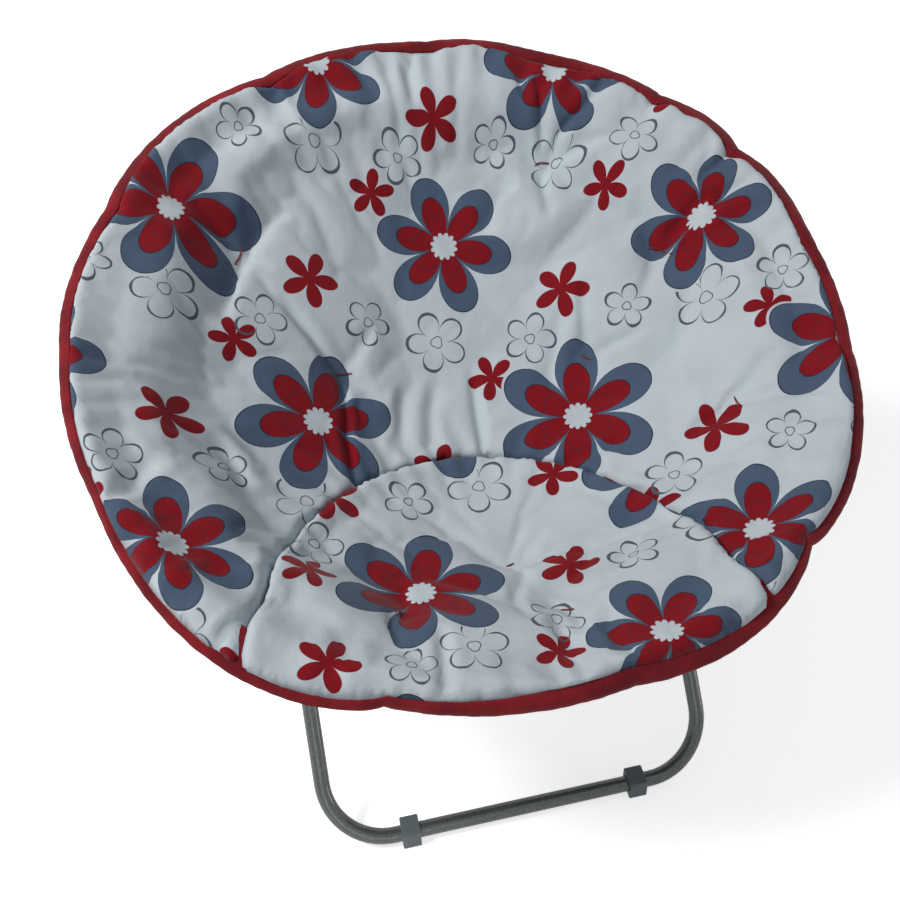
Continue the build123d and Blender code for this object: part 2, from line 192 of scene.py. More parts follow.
def calc(tree, operation, *values, clamp=False):
    """One step of arithmetic on numbers or outputs."""
    node = add_node(tree, "ShaderNodeMath", operation=operation, use_clamp=clamp)
    for i, value in enumerate(values):
        feed(tree, node.inputs[i], value)
    return node.outputs[0]


def tint(tree, share, under, over):
    """The colour under, covered by the colour over where share is 1."""
    node = add_node(tree, "ShaderNodeMix", data_type="RGBA")
    feed(tree, node.inputs[0], share)
    feed(tree, node.inputs[6], under)
    feed(tree, node.inputs[7], over)
    return node.outputs[2]


def fade(tree, value, start, end, low=0.0, high=1.0):
    """A smooth ramp from low to high as value goes from start to end."""
    node = add_node(tree, "ShaderNodeMapRange", interpolation_type="SMOOTHSTEP")
    for key, number in (("Value", value), ("From Min", start), ("From Max", end), ("To Min", low), ("To Max", high)):
        feed(tree, node.inputs[key], number)
    return node.outputs["Result"]


def new_group(name, inputs, outputs):
    """A node group; inputs and outputs are (name, kind, value) and (name, kind)."""
    tree = bpy.data.node_groups.new(name, "ShaderNodeTree")
    for label, kind, value in inputs:
        socket = tree.interface.new_socket(name=label, in_out="INPUT", socket_type="NodeSocket" + kind)
        if value is not None:
            socket.default_value = value
    for label, kind in outputs:
        tree.interface.new_socket(name=label, in_out="OUTPUT", socket_type="NodeSocket" + kind)
    start, end = tree.nodes.new("NodeGroupInput"), tree.nodes.new("NodeGroupOutput")
    return tree, start.outputs, end.inputs


def use_group(tree, group, **inputs):
    node = add_node(tree, "ShaderNodeGroup", node_tree=group)
    for key, value in inputs.items():
        feed(tree, node.inputs[key.replace("_", " ")], value)
    return node.outputs


def new_material(name, roughness, metallic=0.0, **sockets):
    """A material with a Principled BSDF whose constant sockets are set here."""
    material = bpy.data.materials.new(name)
    material.use_nodes = True
    tree = material.node_tree
    shader = tree.nodes["Principled BSDF"]
    shader.inputs["Roughness"].default_value = roughness
    shader.inputs["Metallic"].default_value = metallic
    for key, value in sockets.items():
        shader.inputs[key.replace("_", " ")].default_value = value
    return material, tree, shader


def bump(tree, height, distance, strength=1.0):
    node = add_node(tree, "ShaderNodeBump", {"Height": height, "Distance": distance, "Strength": strength})
    return node.outputs["Normal"]


# %% White for the camera, grey for the light
ambient_level = 0.17
# how brightly the floor shows near the chair and far from it, and the distances between which it changes
floor_glow_near, floor_glow_far = 0.66, 0.98
glow_start, glow_end = 0.8, 2.4


def seen_directly(tree):
    """1 for rays that show a surface, straight or in gloss and glass, and 0 for rays that light others."""
    rays = add_node(tree, "ShaderNodeLightPath")
    seen = calc(tree, "MAXIMUM", rays.outputs["Is Camera Ray"], rays.outputs["Is Transmission Ray"])
    return calc(tree, "MAXIMUM", seen, rays.outputs["Is Glossy Ray"])


world = bpy.data.worlds.new("studio")
bpy.context.scene.world = world
world.use_nodes = True
tree = world.node_tree
level = calc(tree, "ADD", ambient_level, calc(tree, "MULTIPLY", seen_directly(tree), 1 - ambient_level))
background = tree.nodes["Background"]
background.inputs["Color"].default_value = (0.97, 0.985, 1.0, 1)
feed(tree, background.inputs["Strength"], level)

floor_material, tree, shader = new_material("floor_paper", roughness=0.9)
shader.inputs["Base Color"].default_value = (0.93, 0.93, 0.93, 1)
shader.inputs["Specular IOR Level"].default_value = 0.1
shader.inputs["Emission Color"].default_value = (1, 1, 1, 1)
seen = seen_directly(tree)
floor_place = add_node(tree, "ShaderNodeTexCoord").outputs["Object"]
reach = add_node(tree, "ShaderNodeVectorMath", {0: floor_place}, operation="LENGTH")
glow = fade(tree, reach.outputs["Value"], glow_start, glow_end, floor_glow_near, floor_glow_far)
feed(tree, shader.inputs["Emission Strength"], calc(tree, "MULTIPLY", seen, glow))
floor.data.materials.append(floor_material)

# %% [markdown]
# ## Steel and plastic
# The tube is powder-coated in silver grey with a fine hammered grain: the paint runs into little pits while
# it cures. One group makes grain, as a height and as a light or dark mottle, and serves paint and plastic.

# %% Build the grain group
grain, into, out = new_group(
    "grain",
    [("Vector", "Vector", None), ("Size", "Float", 0.003), ("Roundness", "Float", 0.5)],
    [("Height", "Float"), ("Mottle", "Float")],
)
frequency = calc(grain, "DIVIDE", 1.0, into["Size"])
cells = add_node(grain, "ShaderNodeTexVoronoi", {"Vector": into["Vector"], "Scale": frequency}, feature="SMOOTH_F1")
grains = add_node(
    grain, "ShaderNodeTexNoise",
    {"Vector": into["Vector"], "Scale": calc(grain, "MULTIPLY", frequency, 0.6), "Detail": 3.0},
)
round_part = calc(grain, "MULTIPLY", cells.outputs["Distance"], into["Roundness"])
fine_part = calc(grain, "MULTIPLY", grains.outputs["Fac"], calc(grain, "SUBTRACT", 1.0, into["Roundness"]))
feed(grain, out["Height"], calc(grain, "ADD", round_part, fine_part))
feed(grain, out["Mottle"], fade(grain, grains.outputs["Fac"], 0.3, 0.7))


def object_place(tree):
    return add_node(tree, "ShaderNodeTexCoord").outputs["Object"]


def grained(name, dark, light, size, depth, roughness, metallic=0.0, roundness=0.5, **sockets):
    """Paint, zinc or plastic with a grain of its own size."""
    material, tree, shader = new_material(name, roughness, metallic, **sockets)
    grain_of = use_group(tree, grain, Vector=object_place(tree), Size=size, Roundness=roundness)
    wide = add_node(tree, "ShaderNodeTexNoise", {"Vector": object_place(tree), "Scale": 9.0, "Detail": 2.0})
    fine, broad = calc(tree, "MULTIPLY", grain_of["Mottle"], 0.6), calc(tree, "MULTIPLY", wide.outputs["Fac"], 0.4)
    share = calc(tree, "ADD", fine, broad)
    feed(tree, shader.inputs["Base Color"], tint(tree, share, (*dark, 1), (*light, 1)))
    uneven = fade(tree, wide.outputs["Fac"], 0.3, 0.7, roughness * 0.85, roughness * 1.15)
    feed(tree, shader.inputs["Roughness"], uneven)
    feed(tree, shader.inputs["Normal"], bump(tree, grain_of["Height"], depth))
    return material


# %% Finish the steel and the plastic
frame_paint = grained(
    "hammered_grey_paint", (0.068, 0.074, 0.071), (0.125, 0.134, 0.129), size=1.6 * MM, depth=0.02 * MM,
    roughness=0.2, metallic=0.45, roundness=0.75, Coat_Weight=0.12, Coat_Roughness=0.08, Specular_IOR_Level=0.3,
)
zinc = grained(
    "dull_zinc", (0.27, 0.28, 0.29), (0.40, 0.41, 0.42), size=1.5 * MM, depth=0.03 * MM, roughness=0.42, metallic=0.9
)
bright_zinc = grained(
    "bright_zinc", (0.48, 0.48, 0.47), (0.60, 0.60, 0.59), size=0.9 * MM, depth=0.02 * MM, roughness=0.3, metallic=1.0
)
foot_plastic = grained(
    "foot_plastic", (0.070, 0.091, 0.097), (0.102, 0.127, 0.133), size=0.7 * MM, depth=0.05 * MM, roughness=0.55
)
cap_plastic = grained(
    "cap_plastic", (0.012, 0.012, 0.013), (0.022, 0.022, 0.024), size=0.7 * MM, depth=0.04 * MM, roughness=0.5
)
nylon = grained("nylon", (0.55, 0.55, 0.52), (0.66, 0.66, 0.63), size=1.0 * MM, depth=0.02 * MM, roughness=0.4)

finish_of = {
    "frame_steel": frame_paint,
    "knuckle_steel": zinc,
    "rivet_steel": bright_zinc,
    "foot_plastic": foot_plastic,
    "cap_plastic": cap_plastic,
    "washer_nylon": nylon,
}
for part in frame["record"]["subparts"]:
    if part["material_slot"] in finish_of:
        mesh = nodes[part["node"]].data
        mesh.materials.clear()
        mesh.materials.append(finish_of[part["material_slot"]])

# %% [markdown]
# ## A scalloped rim
# The edge of the cover is held tight where it has slots for the hinges and the brackets, and is loose in
# between. So its outline is a row of uneven scallops. Each is kept as the angle round the hoop where it
# starts, the angle of its peak and how far it stands off there.

# %% List the scallops
# start and peak in degrees from the right-hand side, height in millimetres
scallops = [
    (-160, -129, 19), (-112, -100, 1), (-81, -63, 15), (-49, -36, 12.5), (-16, -6, 0.5), (3, 19, 11.5), (26, 34, 15),
    (43, 49, 8), (64, 77, 8.5), (85, 103, 9), (115, 131, 13.5), (151, 168, 3.5), (177, 187, 1),
]
sleeve_radius = 11.7 * MM


def rim_slack(angle):
    """How far the cover's edge stands off the hoop at an angle in degrees, in metres."""
    starts, peaks, heights = np.array(scallops).T
    lengths = np.append(starts[1:], starts[0] + 360) - starts
    angle = (np.asarray(angle, float) - starts[0]) % 360 + starts[0]
    index = np.clip(np.searchsorted(starts, angle, side="right") - 1, 0, len(starts) - 1)
    share = (angle - starts[index]) / lengths[index]
    skew = np.log(0.5) / np.log((peaks - starts)[index] / lengths[index])
    return heights[index] * MM * np.sin(pi * np.clip(share, 0, 1) ** skew) ** 0.7


print("scallops up to", max(height for _, _, height in scallops), "mm")

# %% [markdown]
# ## Where the cover meets the sleeve
# Seen square to the hoop, the red tape shows as a narrow band in front and on the left, and reaches down to
# the inner side of the tube at the back. So the width of the band is kept for a few angles round the hoop,
# in millimetres. Slack only moves the outer half of the sleeve, because its inner half lies on the steel.

# %% Section of the sleeve
tape_widths = [
    (-180, 13), (-168, 10), (-155, 6.5), (-112, 6), (-104, 8), (-92, 13.5), (-76, 14), (-64, 11), (-50, 9), (-38, 10.5),
    (-28, 14), (-16, 17.5), (0, 18), (20, 23), (45, 24), (90, 23.4), (115, 22.5), (135, 20), (150, 18), (165, 15.5),
    (180, 13),
]
tucked_radius = 9.7 * MM


def loose_shift(angle, turn):
    """How far the slack moves a point of the sleeve outwards. Turns go from 0 outside to 180 inside."""
    return rim_slack(angle) * np.clip(np.cos(turn), 0, 1) ** 2


def meeting_turn(angle):
    """Turn round the tube at which the cover meets the sleeve, in radians."""
    places, widths = np.array(tape_widths).T
    width = np.interp((np.asarray(angle) + 180) % 360 - 180, places, widths) * MM
    slack = rim_slack(angle)
    depth = sleeve_radius + slack - width
    loose = 2 * depth / (sleeve_radius + np.sqrt(sleeve_radius**2 + 4 * slack * np.maximum(depth, 0)))
    return np.arccos(np.clip(np.where(depth > 0, loose, depth / sleeve_radius), -0.8, 0.95))


turns = np.round(np.degrees(meeting_turn(np.array([-135.0, -90, 0, 90]))))
print("the cover meets the sleeve at a turn of", turns, "degrees")

# %% [markdown]
# ## The bowl
# The pad hangs from the hoop as a bowl whose deepest place lies in front of the middle. Each level of it is
# a circle, and the circles close on that low point. The same formula gives the place of a point on the
# cloth, measured along the cloth from the low point, so that the print keeps its size on the slopes.

# %% Shape the bowl
pad_radius = hoop_radius - 9.5 * MM
bowl_depth = 185 * MM
low_point = -100 * MM
bowl_power = 1.7
edge_thickness = 10 * MM
middle_thickness = 28 * MM
fullness = 9
seam_offset, seam_centre, seam_radius = -26 * MM, -294 * MM, 216 * MM


def bowl_level(x, s):
    """1 on the rim and 0 at the low point."""
    q = s - low_point
    span = pad_radius**2 - low_point**2
    return (q * low_point + np.sqrt((q * low_point) ** 2 + span * (x**2 + q**2))) / span


def bowl_height(x, s):
    """Middle of the pad, over the plane of the hoop."""
    return -bowl_depth * (1 - np.clip(bowl_level(x, s), 0, 1) ** bowl_power)


def pad_thickness(x, s):
    return edge_thickness + (middle_thickness - edge_thickness) * (1 - np.clip(bowl_level(x, s), 0, 1) ** fullness)


def cloth_place(x, s):
    """Place on the flat cloth, in metres from the low point, by adding up the slope in steps."""
    q = s - low_point
    reach = np.maximum(np.hypot(x, q), 1e-9)
    level = np.maximum(bowl_level(x, s), 1e-9)
    steps = (np.arange(24) + 0.5) / 24
    slope = bowl_depth * bowl_power * (np.outer(level, steps)) ** (bowl_power - 1)
    length = np.sqrt((reach / level)[:, None] ** 2 + slope**2).mean(1) * level
    return x / reach * length, q / reach * length


def seam_distance(x, s):
    """Distance from the seam between the panels, over 0 on the side of the back panel."""
    across, behind = x - seam_offset, s - seam_centre
    return np.where(behind > 0, np.hypot(across, behind), np.abs(across)) - seam_radius


print("bowl bottom", round(float(bowl_height(np.array([0.0]), np.array([low_point]))[0]), 4))

# %% [markdown]
# ## Cutting the panels
# A sheet that has to wrinkle freely needs an even net of triangles, not rows of quads: folds run along
# the rows. Points are laid in a honeycomb inside each panel's outline and joined by a triangulation that
# keeps the outline's own edges.

# %% Lay out a panel


def seam_line(step):
    """Points of the seam from the rim on the right round the arch to the rim on the left."""
    turn = step / seam_radius
    angles = np.arange(-0.2, pi + 0.2, turn)
    x = seam_offset + seam_radius * np.cos(angles)
    s = seam_centre + seam_radius * np.sin(angles)
    x = np.where(angles < 0, seam_offset + seam_radius, x)
    inside = np.hypot(x, s) < pad_radius
    x, s = x[inside], s[inside]
    ends = []
    for near in (0, -1):
        direction = np.array([x[near], s[near]])
        ends.append(direction / np.linalg.norm(direction) * pad_radius)
    return np.vstack([ends[0], np.column_stack([x, s])[1:-1], ends[1]])


def rim_line(start, end, step):
    """Points of the rim between two angles, without the ends."""
    count = max(2, int(abs(end - start) * pad_radius / step))
    angles = np.linspace(start, end, count + 1)[1:-1]
    return pad_radius * np.column_stack([np.cos(angles), np.sin(angles)])


def panel_outline(name, step):
    seam = seam_line(step)
    right = np.arctan2(seam[0, 1], seam[0, 0])
    left = np.arctan2(seam[-1, 1], seam[-1, 0])
    if name == "back":
        return np.vstack([seam[::-1], rim_line(right, left + 2 * pi, step)])
    return np.vstack([seam, rim_line(left, right, step)])


def net(name, step, rows):
    """Triangles over a panel: points in the plane of the hoop, faces and the number of outline points."""
    outline = panel_outline(name, step)
    sign = 1 if name == "back" else -1
    x, s = np.meshgrid(np.arange(-pad_radius, pad_radius, rows), np.arange(-pad_radius, pad_radius, rows * 0.866))
    x = x + (np.arange(len(x)) % 2)[:, None] * rows / 2
    x, s = x.ravel(), s.ravel()
    margin = rows * 0.6
    keep = (np.hypot(x, s) < pad_radius - margin) & (seam_distance(x, s) * sign > margin)
    points = np.vstack([outline, np.column_stack([x[keep], s[keep]])])
    edges = [(i, (i + 1) % len(outline)) for i in range(len(outline))]
    found = delaunay_2d_cdt([Vector(p) for p in points], edges, [], 1, 1e-7)
    places = np.array([tuple(p) for p in found[0]])
    return places, [tuple(f) for f in found[2]], len(outline)


def mesh_object(name, points, faces):
    mesh = bpy.data.meshes.new(name)
    mesh.from_pydata([tuple(p) for p in points], [], faces)
    mesh.update()
    piece = bpy.data.objects.new(name, mesh)
    bpy.context.scene.collection.objects.link(piece)
    return piece


def alone(piece):
    """Selects one piece only, and makes it active."""
    bpy.ops.object.select_all(action="DESELECT")
    piece.select_set(True)
    bpy.context.view_layer.objects.active = piece
    return piece


# %% [markdown]
# ## Filling the pad
# Each face of a panel is a sheet that is sewn down along the rim, the seam and the tufts, and filling
# pushes it up in between. The sheet is cut a little too large, as a quilted cover is, so it wrinkles. Those
# are the two settings of the cloth simulation that matter: pressure, and a shrink below zero.

# %% Where the cloth is held
# x and s of the tufts, read off the photograph
back_tufts = [(-226, 162), (-130, 36), (156, 9), (148, 244), (260, 100), (276, -119)]
seat_tufts = [(-121, -281), (7, -228), (37, -305)]
tuft_depth = 10 * MM
tuft_reach = 27 * MM
tuft_hold = 5 * MM

# the seam: how far it pulls the pad thin, its groove, and the step up to the seat panel
seam_pinch = 17 * MM
seam_groove, groove_width = 8 * MM, 4.5 * MM
seat_step, step_rise, step_reach = 7 * MM, 7 * MM, 34 * MM

# the rim: the pad lifts over the hoop, dives under the sleeve, and swells to a shelf inside it
edge_lift, tucked_lift, lift_reach = 12 * MM, 9.5 * MM, 36 * MM
edge_burial, dive_length = 1.3 * MM, 2.6 * MM
spread_reach = 45 * MM
shelf_height, shelf_place = 15 * MM, 60 * MM
# the shelf is fuller round one direction on the left: share, direction and spread in degrees
left_fullness, left_direction, left_span = 0.35, 200, 45

# gathers of the printed cloth along the seam and the rim, and pleats and hollows of the backing
gather_height = 2.6 * MM
gather_length, rim_gather_length = 27 * MM, 38 * MM
seam_gather_reach, rim_gather_reach = 18 * MM, 60 * MM
pleat_height, pleat_count, pleat_reach = 3.0 * MM, 31, 80 * MM
hollow_height, hollow_start = 3.5 * MM, 60 * MM
sewn_margin = 7 * MM


def tuft_distance(x, s, tufts):
    gaps = [np.hypot(x - tx * MM, s - ts * MM) for tx, ts in tufts]
    return np.min(gaps, axis=0)


def ease(value):
    """0 to 1 with a soft start and end."""
    value = np.clip(value, 0, 1)
    return value * value * (3 - 2 * value)


# ends of each fold, x and s, then its depth and its width
folds = [
    (-60, 365, -37, 326, 4, 10), (1, 365, 3, 316, 5, 10), (136, 337, 134, 303, 3, 9), (155, 320, 150, 255, 4, 10),
    (160, 250, 229, 300, 6, 11), (160, 241, 237, 234, 4, 10), (147, 236, 143, 181, 4, 10),
    (111, 243, 60, 180, 6, 14), (168, 90, 157, 21, 4, 9), (140, 72, 103, -19, 5, 14), (22, 22, 15, -81, 6, 9),
    (-26, 16, -46, -64, 4, 11),
    (-64, 16, -76, -56, 4, 12), (-142, -32, -139, -108, 6, 9), (-184, 111, -141, 40, 6, 10),
    (-136, 21, -139, -35, 4, 9),
    (-274, -61, -249, -111, 6, 11), (-325, -102, -345, -149, 5, 13), (-244, -261, -269, -294, 5, 9),
    (166, 9, 217, 15, 4, 10), (95, -111, 167, -104, 5, 11), (268, 106, 307, 128, 4, 11), (251, 95, 225, 51, 4, 11),
    (278, -113, 311, -80, 4, 11), (269, -121, 228, -128, 4, 11), (-114, -247, -116, -297, 6, 9),
    (-89, -316, -97, -367, 6, 10), (130, -244, 99, -276, 5, 12), (14, -248, -12, -291, 5, 10),
    (21, -296, 42, -311, 5, 9), (60, -333, 63, -366, 5, 12), (-1, -232, -30, -198, 4, 10), (17, -226, 52, -200, 4, 10),
    (-227, 154, -258, 83, 6, 13), (-232, 166, -257, 202, 5, 12), (-218, 169, -168, 213, 4, 12),
    (-126, 44, -88, 86, 4, 11),
]


def fold_height(x, s):
    """Creases that run out from the tufts and the seam, each a furrow between two low ridges."""
    height = np.zeros_like(x)
    for x0, s0, x1, s1, depth, width in np.array(folds) * MM:
        length = hypot(x1 - x0, s1 - s0)
        along = ((x - x0) * (x1 - x0) + (s - s0) * (s1 - s0)) / length**2
        across = ((x - x0) * (s1 - s0) - (s - s0) * (x1 - x0)) / length / width
        fading = ease(0.4 + 2.5 * along) * ease(2.9 - 2.5 * along)
        height = height - depth * (1 - 1.1 * across**2) * np.exp(-(across**2)) * fading
    return height


def spread(x, s, side):
    """Points pushed out over the hoop and its scallops, and how far each is from the edge of its face."""
    reach = np.hypot(x, s)
    angle = np.degrees(np.arctan2(s, x))
    edge = pad_radius + 0.2 * rim_slack(angle)
    if side > 0:
        meet = meeting_turn(angle)
        edge = hoop_radius + loose_shift(angle, meet) + (sleeve_radius - edge_burial) * np.cos(meet)
    scale = 1 + (edge - pad_radius) * ease(1 - (pad_radius - reach) / spread_reach) / np.maximum(reach, 1e-9)
    return x * scale, s * scale, edge - reach * scale


def edge_roll(x, s, from_edge):
    """How far the pad swells up over the hoop and inside it, before it dives under the sleeve."""
    gap = np.maximum(pad_radius - np.hypot(x, s), 0)
    meet = meeting_turn(np.degrees(np.arctan2(s, x)))
    lift = edge_lift - tucked_lift * np.clip((meet - radians(100)) / radians(43), 0, 1)
    edge = (sleeve_radius - edge_burial) * np.sin(meet)
    dive = (lift + edge_thickness / 2 - edge) * np.exp(-from_edge / dive_length)
    shelf = np.where(gap < shelf_place, ease(gap / shelf_place), ease(2.2 - 1.2 * gap / shelf_place))
    beside = (np.degrees(np.arctan2(s, x)) % 360 - left_direction) / left_span
    left = 1 + left_fullness * np.exp(-(beside**2))
    return lift * ease(1 - gap / lift_reach) + shelf_height * left * shelf - dive


def lower_waves(x, s):
    """Slack of the backing: pleats that run in from the rim, and a few wide hollows."""
    angle = np.arctan2(s, x)
    gap = pad_radius - np.hypot(x, s)
    pleats = np.sin(angle * pleat_count + 2.2 * np.sin(angle * 7)) * np.exp(-gap / pleat_reach)
    pleats = pleats * ease(gap / (20 * MM))
    hollows = np.sin(x / (61 * MM) + 1.3 * np.sin(s / (83 * MM))) * np.sin(s / (57 * MM) + 0.9 * np.sin(x / (71 * MM)))
    return pleat_height * pleats + hollow_height * hollows * ease(gap / hollow_start)


def face_height(x, s, side):
    """Height of the upper (side 1) or lower (side -1) face before the filling swells it."""
    off_seam = seam_distance(x, s)
    pinch = np.clip(np.abs(off_seam) / seam_pinch, 0, 1)
    pinch = 0.12 + 0.88 * np.sqrt(1 - (1 - pinch) ** 2) if side > 0 else 0.75 + 0.25 * pinch
    dimple = tuft_depth * np.exp(-((tuft_distance(x, s, back_tufts + seat_tufts) / tuft_reach) ** 2))
    wide_x, wide_s, from_edge = spread(x, s, side)
    height = bowl_height(wide_x, wide_s) + side * (pad_thickness(wide_x, wide_s) / 2 * pinch - dimple)
    if side > 0:
        height = height + edge_roll(wide_x, wide_s, from_edge) + fold_height(x, s)
        height = height - seam_groove * np.exp(-((off_seam / groove_width) ** 2))
        height = height + seat_step * ease(1 + off_seam / step_reach) * ease(-off_seam / step_rise)
    else:
        height = height - lower_waves(x, s)
    return height


def face_points(x, s, n, side):
    """World points of a face."""
    wide_x, wide_s, _ = spread(x, s, side)
    return to_world(wide_x, wide_s, n)


def gathers(x, s):
    """Small waves along the seam and the rim, where more cloth is eased in than the line is long."""
    angle = np.arctan2(s - seam_centre, x - seam_offset)
    along = angle * seam_radius
    waver = np.sin(along / gather_length * 2 * pi + 1.7 * np.sin(along / (3.1 * gather_length)))
    fading = np.exp(-np.abs(seam_distance(x, s)) / seam_gather_reach)
    seam_waves = waver * np.clip(np.sin(angle), 0.15, 1) * fading
    angle = np.arctan2(s, x)
    along = angle * pad_radius
    uneven = 2.3 * np.sin(along / (93 * MM)) + 1.1 * np.sin(along / (31 * MM))
    waver = np.sin(along / rim_gather_length * 2 * pi + uneven)
    fullness_there = 0.35 + 0.65 * np.clip(np.sin(angle), 0, 1)
    gap = pad_radius - np.hypot(x, s)
    rim_waves = waver * fullness_there * np.exp(-gap / rim_gather_reach) * ease(gap / (12 * MM))
    return gather_height * (seam_waves + rim_waves)


# %% Let the filling swell a sheet
sheet_step = 5.0 * MM
sheet_frames = 24


def swell(sheet, hold, pressure, slack, frames):
    """Cloth simulation of a held sheet. hold is 1 where it is sewn down and small where filling guides it."""
    group = sheet.vertex_groups.new(name="held")
    for i, weight in enumerate(hold):
        group.add([i], float(weight), "REPLACE")
    cloth = sheet.modifiers.new("cloth", "CLOTH")
    cloth.settings.quality = 6
    cloth.settings.mass = 0.25
    cloth.settings.tension_stiffness = cloth.settings.compression_stiffness = 12
    cloth.settings.shear_stiffness = 6
    cloth.settings.bending_stiffness = 0.6
    cloth.settings.tension_damping = cloth.settings.compression_damping = 6
    cloth.settings.air_damping = 2
    cloth.settings.vertex_group_mass = group.name
    cloth.settings.pin_stiffness = 1
    cloth.settings.shrink_min = -slack
    cloth.settings.use_pressure = True
    cloth.settings.uniform_pressure_force = pressure
    cloth.settings.effector_weights.gravity = 0
    cloth.collision_settings.use_collision = False
    scene = bpy.context.scene
    scene.frame_start, scene.frame_end = 1, frames
    cloth.point_cache.frame_start, cloth.point_cache.frame_end = 1, frames
    for f in range(1, frames + 1):
        scene.frame_set(f)
    alone(sheet)
    bpy.ops.object.modifier_apply(modifier="cloth")
    scene.frame_set(1)


def mesh_points(piece):
    flat = np.zeros(len(piece.data.vertices) * 3, np.float32)
    piece.data.vertices.foreach_get("co", flat)
    return flat.reshape(-1, 3).astype(float)


def upper_face(name, slack, pressure, cap):
    """The printed side of a panel: its flat places, its world points and its faces."""
    places, faces, outline = net(name, sheet_step, sheet_step)
    x, s = places.T
    points = face_points(x, s, face_height(x, s, 1) + gathers(x, s), 1)
    hold = np.full(len(x), 0.02)
    hold[tuft_distance(x, s, back_tufts + seat_tufts) < tuft_hold] = 1
    hold[:outline] = 1
    sheet = mesh_object(name + "_sheet", points, faces)
    normals = np.array([f.normal for f in sheet.data.polygons])
    if (normals @ np.array(off_hoop)).mean() < 0:
        sheet.data.flip_normals()
    swell(sheet, hold, pressure, slack, sheet_frames)
    moved = mesh_points(sheet) - points
    sewn = np.minimum(pad_radius - np.hypot(x, s), np.abs(seam_distance(x, s)))
    moved = moved * ease(sewn / sewn_margin)[:, None]
    size = np.linalg.norm(moved, axis=1)
    print(name, "moved up to", round(size.max() / MM, 1), "mm, mean", round(size.mean() / MM, 1))
    points = points + moved * (cap * np.tanh(size / cap) / np.maximum(size, 1e-9))[:, None]
    bpy.data.objects.remove(sheet)
    return places, points, faces, outline


# %% [markdown]
# ## Joining the two faces of a panel
# The lower face is never seen close up, so its net is coarse inside and only follows the outline's points.
# Both nets share the order of the outline, which makes the wall between them a simple strip of quads.

# %% Build a panel
backing_step = 11 * MM


def panel(name, slack, pressure, cap):
    places, points, faces, outline = upper_face(name, slack, pressure, cap)
    below, below_faces, _ = net(name, sheet_step, backing_step)
    bx, bs = below.T
    below_points = face_points(bx, bs, face_height(bx, bs, -1), -1)
    count = len(points)
    all_faces = [facing(f, places, 1) for f in faces]
    all_faces += [tuple(i + count for i in facing(f, below, -1)) for f in below_faces]
    (x0, s0), (x1, s1) = places[:outline].T, np.roll(places[:outline], -1, axis=0).T
    area = (x0 * s1 - x1 * s0).sum()
    for i in range(outline):
        j = (i + 1) % outline
        wall = (i + count, j + count, j, i)
        all_faces.append(wall if area > 0 else wall[::-1])
    piece = mesh_object("whole_" + name, np.vstack([points, below_points]), all_faces)
    flat = np.hstack([spread(*places.T, 1)[:2], spread(*below.T, -1)[:2]])
    u, v = cloth_place(*flat)
    paint_places(piece, u, v)
    piece.data.materials.append(printed_cotton[name])
    piece.data.materials.append(backing_cloth)
    material = [0] * len(faces) + [1] * (len(all_faces) - len(faces))
    piece.data.polygons.foreach_set("material_index", material)
    piece.data.polygons.foreach_set("use_smooth", [True] * len(all_faces))
    return piece


def facing(face, places, side):
    """The face with its corners in the order that makes it look up (1) or down (-1)."""
    a, b, c = (places[i] for i in face[:3])
    turn = (b[0] - a[0]) * (c[1] - a[1]) - (b[1] - a[1]) * (c[0] - a[0])
    return tuple(face) if turn * side > 0 else tuple(face[::-1])


def paint_places(piece, u, v):
    """Keeps a place on the flat cloth with each corner, as the UV map that the print reads."""
    layer = piece.data.uv_layers.new(name="cloth")
    corner = np.zeros(len(piece.data.loops), np.int32)
    piece.data.loops.foreach_get("vertex_index", corner)
    layer.data.foreach_set("uv", np.column_stack([u[corner], v[corner]]).ravel())


# %% [markdown]
# ## The print
# The cotton has large blue-grey blossoms with red hearts, and small red and outlined ones between them. The
# motifs here are regular rosettes on a staggered grid, drawn by arithmetic. A blossom is where a point lies
# nearer to the middle than a reach that waves round it once per petal.

# %% A staggered grid of motifs
scatter, into, out = new_group(
    "scatter",
    [
        ("Vector", "Vector", None), ("Width", "Float", 0.3), ("Height", "Float", 0.2),
        ("Seed", "Float", 0.0), ("Jitter", "Float", 0.01),
    ],
    [("Local", "Vector"), ("Chance", "Float")],
)


def off_middle(share, number, width):
    """How far a point lies from the middle of its cell."""
    inside_cell = calc(scatter, "SUBTRACT", calc(scatter, "SUBTRACT", share, number), 0.5)
    return calc(scatter, "MULTIPLY", inside_cell, width)


def thrown(value):
    """A random step to either side, as long as the jitter at most."""
    return calc(scatter, "MULTIPLY", calc(scatter, "SUBTRACT", value, 0.5), into["Jitter"])


split = add_node(scatter, "ShaderNodeSeparateXYZ", {"Vector": into["Vector"]})
row = calc(scatter, "DIVIDE", split.outputs["Y"], into["Height"])
row_number = calc(scatter, "FLOOR", row)
column = calc(scatter, "DIVIDE", split.outputs["X"], into["Width"])
column = calc(scatter, "ADD", column, calc(scatter, "MULTIPLY", row_number, 0.5))
column_number = calc(scatter, "FLOOR", column)
local_x = off_middle(column, column_number, into["Width"])
local_y = off_middle(row, row_number, into["Height"])
cell = add_node(scatter, "ShaderNodeCombineXYZ", {"X": column_number, "Y": row_number, "Z": into["Seed"]})
dice = add_node(scatter, "ShaderNodeTexWhiteNoise", {"Vector": cell.outputs[0]}, noise_dimensions="3D")
throw = add_node(scatter, "ShaderNodeSeparateXYZ", {"Vector": dice.outputs["Color"]})
moved_x = calc(scatter, "ADD", local_x, thrown(throw.outputs["X"]))
moved_y = calc(scatter, "ADD", local_y, thrown(throw.outputs["Y"]))
placed = add_node(scatter, "ShaderNodeCombineXYZ", {"X": moved_x, "Y": moved_y})
turn = calc(scatter, "MULTIPLY", throw.outputs["Z"], 2 * pi)
